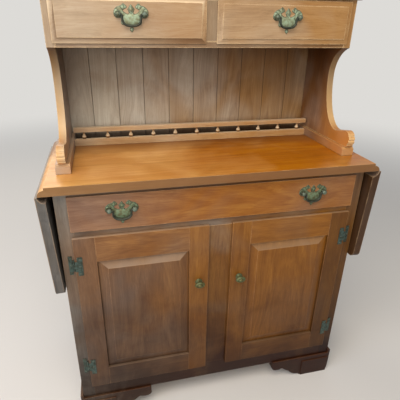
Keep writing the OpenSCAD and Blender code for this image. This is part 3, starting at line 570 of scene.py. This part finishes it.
# node: body, wood, softened arris in mm, grain axis, tones of its boards from left to right, and
# the angle in degrees from which an arris is softened, where it isn't 40. A board's tones run from
# its left end to its right one, 0 cool and grey to 1 warm, with its shade after them if it has
# one; a range instead of a list is for boards that are all alike. Beside the wood's own
# differences, the cool grey tones at the left paint in the cool light from that side, and a shade
# other than 1 darkens or lightens a board partly as painted shade and painted light
boards = {
    "worktop": ("case", "amberTop", 1.6, "x", [(0.1, 0.5, 0.9, 1.0)]),
    "leaf_left": ("left_leaf", "leafEdge", 2.2, "z", [(0.1, 0.1)]),
    "leaf_right": ("right_leaf", "leafEdge", 2.2, "z", [(1.0, 1.0)]),
    "case_sides": ("case", "caseMaple", 0.8, "z", [((0.45, 0.45), 0.85), ((0.9, 0.9), 0.75)]),
    "case_bottom": ("case", "bareMaple", 0.6, "x", (0.2, 0.8)),
    "case_shelf": ("case", "bareMaple", 0.8, "x", (0.2, 0.8)),
    "case_back": ("case", "bareMaple", 0.4, "z", (0.2, 0.8)),
    "face_stiles": ("case", "caseMaple", 0.5, "z",
                    [((0.1, 0.2), 0.9), ((1.0, 1.0), 0.84), ((0.9, 0.9), 0.6)]),
    "rail_top": ("case", "caseMaple", 0.5, "x", [(0.3, 1.0)]),
    "rail_mid": ("case", "caseMaple", 0.5, "x", [((0.2, 1.0), 0.85)]),
    "rail_bottom": ("case", "caseMaple", 0.5, "x", [((0.6, 1.0), 0.85)]),
    "drawer_guides": ("case", "bareMaple", 0.5, "y", (0.2, 0.8)),
    "feet_front": ("case", "caseMaple", 1.6, None, [((0.5, 0.6), 1.1), ((0.9, 0.9), 0.85)]),
    "feet_rear": ("case", "caseMaple", 1.2, "y", (0.4, 0.8)),
    "door_left_stiles": ("door_left", "doorMaple", 1.2, "z", [(0.0, 0.15), ((0.85, 0.95), 1.06)]),
    "door_left_rails": ("door_left", "doorMaple", 1.2, "x", [((0.2, 0.6), 0.85), ((0.25, 0.7), 1.15)]),
    "door_left_panel": ("door_left", "doorMaple", 0.5, "z", [(0.1, 0.35, 0.6)], 10),
    "door_right_stiles": ("door_right", "doorMaple", 1.2, "z", [(0.9, 0.9), ((1.0, 1.0), 0.6)]),
    "door_right_rails": ("door_right", "doorMaple", 1.2, "x", [((0.7, 1.0), 0.9), ((0.8, 1.0), 1.1)]),
    "door_right_panel": ("door_right", "doorMaple", 0.5, "z", [((0.95, 1.0), 1.1)], 10),
    "wide_front": ("wide_drawer", "drawerMaple", 2.6, "x", [(0.0, 0.25, 0.8, 1.0, 0.6, 0.9)]),
    "wide_box": ("wide_drawer", "bareMaple", 0.6, None, (0.2, 0.8)),
    "wide_bottom": ("wide_drawer", "bareMaple", 0.3, "x", (0.2, 0.8)),
    "small_left_front": ("small_drawer_left", "tanHutch", 1.2, "x", [(0.0, 0.6)]),
    "small_left_box": ("small_drawer_left", "bareMaple", 0.6, None, (0.2, 0.8)),
    "small_right_front": ("small_drawer_right", "tanHutch", 1.2, "x", [(0.5, 1.0)]),
    "small_right_box": ("small_drawer_right", "bareMaple", 0.6, None, (0.2, 0.8)),
    "hutch_sides": ("case", "hutchSide", 4.5, "z", [((0.8, 0.0), 1.1), (1.0, 1.0)]),
    "hutch_shoes": ("case", "hutchShoe", 1.8, "y", [(0.0, 0.15), (0.9, 0.9)]),
    "back_boards": ("case", "backBoards", 1.1, "z",
                    [(((t / 9) ** 0.75,) * 2, 1.0 - 0.02 * t) for t in range(10)]),
    "gallery_rails": ("case", "tanHutch", 1.2, "x", [((0.4, 1.0), 1.25), ((0.3, 0.9), 1.3)]),
    "gallery_spindles": ("case", "tanHutch", 0.0, "z", (0.5, 0.8)),
    "box_floor": ("case", "brownHutch", 0.4, "x", (0.2, 0.8)),
    "box_stiles": ("case", "tanHutch", 0.5, "z",
                   [((0.0, 0.0), 0.85), ((0.3, 0.3), 0.7), ((0.9, 0.9), 0.9)]),
    "box_rails": ("case", "brownHutch", 0.5, "x", [((0.1, 0.8), 0.66), ((0.1, 0.8), 0.8)]),
    "box_guides": ("case", "bareMaple", 0.5, "y", (0.2, 0.8)),
    "box_roof": ("case", "hutchTop", 2.0, "x", [(0.2, 0.9)]),
}
for count, (name, (body, wood, arris, axis, tones, *sharp)) in enumerate(boards.items()):
    dress(name, body, slots.get(wood, "hutch_wood"), woods[wood], arris, axis, tones, *sharp,
          seed=11 + count)
print("boards dressed")

# slot and metal, and the nodes made of it with their bodies
castings = {
    ("brass", "castBrassPost"): dict(
        posts_wide="wide_drawer", posts_small_left="small_drawer_left",
        posts_small_right="small_drawer_right"),
    ("brass", "pressedBrassHinge"): dict(
        hinges_frame="case", hinge_pins="case", hinges_door_left="door_left",
        hinges_door_right="door_right"),
    ("iron", "blackenedSteel"): dict(
        flaps_top="case", flaps_left="left_leaf", flaps_right="right_leaf", prop_brackets="case",
        prop_left="left_prop", prop_right="right_prop"),
}
for (slot, metal), bodies in castings.items():
    for name, body in bodies.items():
        dress(name, body, slot, metals[metal], 0.3)
print("castings dressed")


# a plate in relief: its outline is in mm on its own face, u to the right and v up, and its
# height function gives the height in mm and how dark it is there, from grime and painted shade
def reliefFaces(outline, height, spacing):
    count = len(outline)
    edges = [(i, (i + 1) % count) for i in range(count)]

    def depthInside(u, v):
        nearest, inside = 1e9, False
        for i, k in edges:
            (ax, ay), (bx, by) = outline[i], outline[k]
            dx, dy = bx - ax, by - ay
            t = min(max(((u - ax) * dx + (v - ay) * dy) / max(dx * dx + dy * dy, 1e-9), 0), 1)
            nearest = min(nearest, math.hypot(u - ax - t * dx, v - ay - t * dy))
            if (ay > v) != (by > v) and u < ax + (v - ay) * dx / (by - ay):
                inside = not inside
        return nearest if inside else -nearest

    points = [Vector(p) for p in outline]
    lowU, highU = min(p[0] for p in outline), max(p[0] for p in outline)
    lowV, highV = min(p[1] for p in outline), max(p[1] for p in outline)
    depths = [0.0] * count
    row = 0
    v = lowV
    while v < highV:
        u = lowU + (spacing / 2 if row % 2 else 0)
        while u < highU:
            depth = depthInside(u, v)
            if depth > spacing * 0.45:
                points.append(Vector((u, v)))
                depths.append(depth)
            u += spacing
        v += spacing * 0.866
        row += 1
    flat, _, triangles, origins, _, _ = delaunay_2d_cdt(points, edges, [], 1, 1e-6)
    lifted = [height(p[0], p[1], depths[o[0]] if o else 0.0) for p, o in zip(flat, origins)]
    return [(p[0], p[1]) for p in flat], lifted, triangles


# copies of one relief as a closed piece: front in relief, flat back, walls round the outline
def reliefPiece(name, relief, spots, material, body, slot, standsFor=()):
    flat, lifted, triangles = relief
    shape = bmesh.new()
    grime = shape.verts.layers.float.new("settledGrime")
    for centreX, surfaceY, centreZ, sideways in spots:
        fronts = [shape.verts.new((centreX + u * sideways * mm, surfaceY - h * mm, centreZ + v * mm))
                  for (u, v), (h, _) in zip(flat, lifted)]
        for vertex, (_, settled) in zip(fronts, lifted):
            vertex[grime] = settled
        backs = [shape.verts.new((centreX + u * sideways * mm, surfaceY, centreZ + v * mm))
                 for u, v in flat]
        for triangle in triangles:
            shape.faces.new([fronts[i] for i in triangle])
            shape.faces.new([backs[i] for i in reversed(triangle)])
        rim = {}
        for triangle in triangles:
            for i, k in zip(triangle, triangle[1:] + triangle[:1]):
                rim[(i, k)] = rim.get((i, k), 0) + 1
        for (i, k) in rim:
            if (k, i) not in rim:
                shape.faces.new([fronts[k], fronts[i], backs[i], backs[k]])
    return finishPiece(shape, name, material, body, slot, standsFor, sharpDegrees=50)


# forms of the pull's plate, mm: half width, half height and middle height of diamond, body and
# pendant; where the plumes fan out from and their ribs; the ears' place and radius; and the
# right half of its outline, from the top of the diamond to the pendant's tip
pullLook = dict(
    edgeRise=1.0, edgeMm=1.5, dome=1.5, spacing=1.05, leastMm=0.4,
    diamond=(8.0, 9.8, 10.6), body=(22.0, 13.5, -10.5), pendant=(5.0, 6.5, -33.5),
    plume=(11, -3, 17), ear=(31.5, 8.0),
    outline=[
        (0, 21.5), (4.2, 16), (8.2, 10.8), (6.4, 6.4), (5.6, 2), (9, 0.6), (14.6, 3.4), (19.2, 7.6),
        (15.6, 10.8), (11.6, 12.4), (9.8, 14.8), (11, 17.4), (14, 20.8), (18.6, 23.4), (22.4, 19.4),
        (27, 18), (33, 15.6), (38.6, 10.5), (41.2, 4), (40.4, -3.2), (35.6, -8), (29.6, -8.8),
        (25.6, -8.6), (24.4, -13), (25, -19.5), (21.4, -23.4), (16.4, -23.6), (10, -25.6),
        (5, -27.4), (3.4, -29.4), (5.2, -33), (0, -40)])


# height of the plate at (u, v), which is depth mm inside its outline, and how dark it is there
def pullHeight(u, v, depth):
    side = abs(u)
    lip = pullLook["edgeRise"] * ease(depth / pullLook["edgeMm"])
    height = 0.45 + lip - 0.35 * ridge((depth - 2.5) / 0.6)

    # the diamond rises to a point, with a groove in it and a moat round it
    halfWide, halfTall, middle = pullLook["diamond"]
    diamond = side / halfWide + abs(v - middle) / halfTall
    moat = ridge((diamond - 1.08) / 0.12) * (v > -1)
    groove = ridge((diamond - 0.6) / 0.13)
    height += 1.5 * max(0.0, 1 - diamond) ** 0.8 - 0.6 * moat - 0.4 * groove

    # the body is domed
    halfWide, halfTall, middle = pullLook["body"]
    body = (u / halfWide) ** 2 + ((v - middle) / halfTall) ** 2
    height += pullLook["dome"] * ease(1 - body) if body < 1 else 0.0

    # ribbed plumes on the shoulders
    fanU, fanV, ribs = pullLook["plume"]
    rib = math.cos(math.atan2(v - fanV, side - fanU) * ribs)
    plume = ease((side - 12) / 5) * ease((v - 3) / 4)
    height += 0.5 * plume * (0.5 + 0.5 * rib) - 0.25 * plume

    # ears ringed and hollow, and the pendant below
    earU, earMm = pullLook["ear"]
    ear = math.hypot(side - earU, v)
    height += 0.7 * ridge((ear - earMm) / 0.8) - 0.45 * ease((7.4 - ear) / 1.5)
    halfWide, halfTall, middle = pullLook["pendant"]
    pendant = side / halfWide + abs(v - middle) / halfTall
    height += 0.8 * max(0.0, 1 - pendant)

    # darker round the edge and in the moat, groove and plume ribs, partly grime and partly painted shade; the
    # lower sides of the body, ears and pendant take painted shade, as if lit from above
    settled = max(0.95 * ridge((depth - 0.2) / 1.25), 0.95 * moat, 0.8 * groove,
                  0.6 * plume * (rib < -0.5), 0.85 * ridge((body - 1.02) / 0.15) * (v < -2),
                  0.75 * ease((9.5 - ear) / 2) * (v < 2), 0.8 * ridge((pendant - 0.95) / 0.25) * (v < -28))
    return max(height, pullLook["leastMm"]), settled


half = [Vector(p) for p in pullLook["outline"]]
outline = smoothLine(half + [Vector((-p.x, p.y)) for p in reversed(half[1:-1])], 3, closed=True)
pullRelief = reliefFaces([(p.x, p.y) for p in outline], pullHeight, pullLook["spacing"])

# where each hinged body turns
pivots = {joint["child"]: joint.get("pos_m") for joint in frame["joints"]}
# node of the plates: body, metal, the front they are on, and the bails that hang on them
pullSpots = {
    "plates_wide": ("wide_drawer", "stampedBrassBrown", "wide_front", ["bail_1", "bail_2"]),
    "plate_small_left": ("small_drawer_left", "stampedBrassGreen", "small_left_front", ["bail_3"]),
    "plate_small_right": ("small_drawer_right", "stampedBrassGreen", "small_right_front", ["bail_4"]),
}
for name, (body, metal, front, bails) in pullSpots.items():
    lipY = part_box(front)[0][1]
    spots = [(pivots[bail][0], lipY, pivots[bail][2], 1) for bail in bails]
    reliefPiece(name + "Piece", pullRelief, spots, metals[metal], body, "brass", [name])
print("pull plates made")


# a swept bar: points (x, y, z) and radii, all in metres, lying in one xz plane
def sweptBar(name, points, radii, material, body, slot, standsFor, sides=16):
    line = smoothLine([(*p, r) for p, r in zip(points, radii)], 5)
    shape = bmesh.new()
    rings = []
    for i, here in enumerate(line):
        ahead, behind = line[min(i + 1, len(line) - 1)], line[max(i - 1, 0)]
        along = Vector((ahead[0] - behind[0], 0, ahead[2] - behind[2])).normalized()
        outward = Vector((-along.z, 0, along.x))
        rings.append([shape.verts.new(Vector(here[:3]) + here[3] * (
            math.cos(turn) * outward + math.sin(turn) * Vector((0, 1, 0))))
            for turn in (2 * math.pi * k / sides for k in range(sides))])
    for ring, following in zip(rings, rings[1:]):
        for k in range(sides):
            shape.faces.new([ring[k], ring[(k + 1) % sides], following[(k + 1) % sides], following[k]])
    shape.faces.new(rings[0][::-1])
    shape.faces.new(rings[-1])
    return finishPiece(shape, name, material, body, slot, standsFor, sharpDegrees=60)


# right half of a bail, mm from the middle of its axis: across, up, radius
bailLook = [(31.4, 0, 1.45), (28, 0, 1.45), (25, -0.1, 1.7), (22.8, -1.6, 2.4), (22.3, -5, 2.5),
            (22.3, -10, 2.5), (21, -16, 2.6), (17.4, -21, 2.7), (12, -24, 2.9), (6, -25, 3.1),
            (0, -25.2, 3.2)]
bailBodies = {"bail_wide_left": "bail_1", "bail_wide_right": "bail_2",
              "bail_small_left": "bail_3", "bail_small_right": "bail_4"}
loop = [(-u, v, r) for u, v, r in bailLook] + [(u, v, r) for u, v, r in reversed(bailLook[:-1])]
for name, body in bailBodies.items():
    x, y, z = pivots[body]
    sweptBar(name + "Piece", [(x + u * mm, y, z + v * mm) for u, v, _ in loop],
             [r * mm for _, _, r in loop], metals["drawnBrassBail"], body, "brass", [name])
print("bails made")


# a turned piece about an axis that points to the front: its profile is (radius, out) in mm, and
# where it stands out by more than ovalFrom mm it is squashed to an oval
def turnedPiece(name, profile, spot, squash, ovalFrom, material, body, slot, standsFor, sides=56):
    shape = bmesh.new()
    x, y, z = spot
    rings = []
    for radius, out in profile:
        if radius < 1e-6:
            rings.append([shape.verts.new((x, y - out * mm, z))])
        else:
            flat = squash if out > ovalFrom else 1
            rings.append([shape.verts.new((x + radius * mm * math.cos(t), y - out * mm,
                                           z + radius * mm * math.sin(t) * flat))
                          for t in (2 * math.pi * k / sides for k in range(sides))])
    for ring, following in zip(rings, rings[1:]):
        for k in range(sides):
            corners = [ring[k % len(ring)], ring[(k + 1) % len(ring)],
                       following[(k + 1) % len(following)], following[k % len(following)]]
            corners = [c for i, c in enumerate(corners) if c not in corners[:i]]
            if len(corners) > 2:
                shape.faces.new(corners)
    return finishPiece(shape, name, material, body, slot, standsFor, sharpDegrees=42)


# bolt and washer behind, rose, neck, collar and a dished oval head
knobLook = dict(squash=0.68, ovalFrom=11, straight=[
    (0, -21), (6, -21), (6, -19), (2.5, -19), (2.5, 0), (10.5, 0)], curved=[
    (10.5, 0.7), (9.8, 1.7), (8.4, 2.1), (7.8, 3.1), (6.6, 3.6), (5.6, 5), (5, 7), (5, 8.6),
    (6.2, 9.4), (6.4, 10.4), (6.6, 11.2), (9.4, 12.2), (12.9, 13.4), (14.5, 15.4), (14.4, 17.2),
    (13.4, 19.2), (11.6, 20.6), (9.6, 21.2), (8.2, 20.8), (7.4, 20.9), (6.6, 22), (5.4, 23.6),
    (3.4, 24.7), (1.5, 25), (0, 25)])
profile = [Vector(p) for p in knobLook["straight"]] + smoothLine(knobLook["curved"], 3)
for body in ("door_left", "door_right"):
    low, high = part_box(body + "_knob")
    spot = ((low[0] + high[0]) / 2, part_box(body + "_stiles")[0][1], (low[2] + high[2]) / 2)
    turnedPiece(body + "KnobPiece", [(max(p[0], 0), p[1]) for p in profile], spot, knobLook["squash"],
                knobLook["ovalFrom"], metals["spunBrassKnob"], body, "brass", [body + "_knob"])
print("knobs made")


# slotted screws, mm: their heads, how far apart they are up a hinge, and how far the middle of
# a hinge is from its end; the columns are metres from the cabinet's middle
screwLook = dict(headMm=2.5, sides=20, spacing=0.33, apart=22, hingeHalf=28, onDoor=0.377,
                 onFrame=0.4011, frameLeafMm=1.6)


# height of a screw head and how dark it is: its slot and rim are darkened, partly grime and partly painted
# shade
def screwHeight(u, v, depth):
    slot = abs(u * 0.8 + v * 0.6) < 0.35
    return 0.15 + 0.75 * ease(depth / 1.6) - 0.6 * slot, max(0.8 * slot, 0.7 * ridge(depth / 0.5))


turns = [2 * math.pi * k / screwLook["sides"] for k in range(screwLook["sides"])]
head = [(screwLook["headMm"] * math.cos(turn), screwLook["headMm"] * math.sin(turn)) for turn in turns]
screwRelief = reliefFaces(head, screwHeight, screwLook["spacing"])
hingeLow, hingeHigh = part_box("hinges_door_left")
hingeMiddles = (hingeLow[2] + screwLook["hingeHalf"] * mm, hingeHigh[2] - screwLook["hingeHalf"] * mm)
# piece: body, columns, the face that the heads are on
screwRows = {"doorLeftScrews": ("door_left", [-screwLook["onDoor"]], hingeLow[1]),
             "doorRightScrews": ("door_right", [screwLook["onDoor"]], hingeLow[1]),
             "frameScrews": ("case", [-screwLook["onFrame"], screwLook["onFrame"]],
                             faceY - screwLook["frameLeafMm"] * mm)}
for name, (body, columns, y) in screwRows.items():
    spots = [(x, y, z + lift * screwLook["apart"] * mm, 1 if (i + k) % 2 else -1)
             for x in columns for i, z in enumerate(hingeMiddles) for k, lift in enumerate((-1, 0, 1))]
    reliefPiece(name, screwRelief, spots, metals["pressedBrassHinge"], body, "brass")
print("hinge screws made")


# the studio: floor paint, backdrop and sky, and the distances in metres over which the floor fades
studioLook = dict(paint="#d9d7d3", backdrop="#dddbd7", sky="#e6ebf3", skyStrength=0.42,
                  fadeFrom=1.8, fadeTo=4.5, radius=30)
floorMesh = bpy.data.meshes.new("studioFloor")
disc = bmesh.new()
bmesh.ops.create_circle(disc, cap_ends=True, radius=studioLook["radius"], segments=96)
disc.to_mesh(floorMesh)
disc.free()
studioFloor = bpy.data.objects.new("studioFloor", floorMesh)
scene.collection.objects.link(studioFloor)
# "seen" is 1 for rays that the viewer sees by, straight or reflected
seenRows = [
    ("ray", "LightPath", {}, {}),
    ("straight", "Math", {"operation": "MAXIMUM"}, {0: "ray/Is Camera Ray", 1: "ray/Is Glossy Ray"}),
    ("seen", "Math", {"operation": "MAXIMUM"}, {0: "straight", 1: "ray/Is Transmission Ray"}),
]
# matt studio paint that fades into the backdrop's own colour far from the cabinet
floorPaint, tree = newMaterial("mattFloorPaint")
addRows(tree, seenRows + [
    ("spot", "TexCoord", {}, {}),
    ("far", "VectorMath", {"operation": "LENGTH"}, {0: "spot/Object"}),
    ("fade", "MapRange", {"interpolation_type": "SMOOTHSTEP", 1: studioLook["fadeFrom"],
                          2: studioLook["fadeTo"]}, {0: "far/Value"}),
    ("faded", "Math", {"operation": "MULTIPLY"}, {0: "seen", 1: "fade"}),
    ("paint", "BsdfPrincipled", {"Base Color": studioLook["paint"], "Roughness": 0.9}, {}),
    ("glow", "Emission", {"Color": studioLook["backdrop"], "Strength": 1.0}, {}),
    ("both", "MixShader", {}, {0: "faded", 1: "paint", 2: "glow"}),
    ("output", "OutputMaterial", {}, {0: "both"}),
])
floorMesh.materials.append(floorPaint)

world = bpy.data.worlds.new("studio")
scene.world = world
world.use_nodes = True
world.node_tree.nodes.clear()
addRows(world.node_tree, seenRows + [
    ("sky", "Background", {"Color": studioLook["sky"], "Strength": studioLook["skyStrength"]}, {}),
    ("backdrop", "Background", {"Color": studioLook["backdrop"], "Strength": 1.0}, {}),
    ("mixed", "MixShader", {}, {0: "seen", 1: "sky", 2: "backdrop"}),
    ("output", "OutputWorld", {}, {0: "mixed"}),
])

# name: place, aim, size, watts, colour
lamps = {
    "ceilingPanel": ((-0.5, -1.2, 2.4), (-0.05, 0.0, 0.8), (1.5, 1.2), 37, "#fff0dc"),
    "frontPanel": ((-1.3, -2.8, 1.25), (0.0, 0.0, 0.65), (2.2, 1.3), 32, "#fff2e0"),
    "windowSide": ((-2.2, -1.1, 1.7), (0.0, 0.0, 0.6), (1.4, 1.8), 26, "#e4ecff"),
    "windowBehind": ((-1.3, 2.4, 2.1), (-0.2, 0.0, 0.8), (1.6, 1.2), 26, "#fff6ea"),
}
for name, (spot, aim, size, watts, colour) in lamps.items():
    lamp = bpy.data.lights.new(name, "AREA")
    lamp.shape = "RECTANGLE"
    lamp.size, lamp.size_y = size
    lamp.energy = watts
    lamp.color = toLinear(colour)[:3]
    holder = bpy.data.objects.new(name, lamp)
    scene.collection.objects.link(holder)
    holder.location = spot
    holder.rotation_euler = (Vector(aim) - Vector(spot)).to_track_quat("-Z", "Y").to_euler()

# where the photograph was taken from: place, and down, right and roll in degrees
cameraLook = dict(spot=(-0.2842, faceY - 0.8970, 1.1585), down=25.06, right=14.08, roll=1.10, lens=35.1)
camera = bpy.data.objects.new("camera", bpy.data.cameras.new("camera"))
scene.collection.objects.link(camera)
scene.camera = camera
camera.data.lens = cameraLook["lens"]
camera.data.sensor_width = 36.0
pitch, yaw, roll = [math.radians(cameraLook[k]) for k in ("down", "right", "roll")]
forward = Vector((math.sin(yaw) * math.cos(pitch), math.cos(yaw) * math.cos(pitch), -math.sin(pitch)))
level = Vector((math.cos(yaw), -math.sin(yaw), 0.0))
upright = level.cross(forward)
rightward = level * math.cos(roll) + upright * math.sin(roll)
upward = upright * math.cos(roll) - level * math.sin(roll)
turned = Matrix((rightward, upward, -forward)).transposed().to_4x4()
camera.matrix_world = Matrix.Translation(cameraLook["spot"]) @ turned
print("floor, light and camera set")
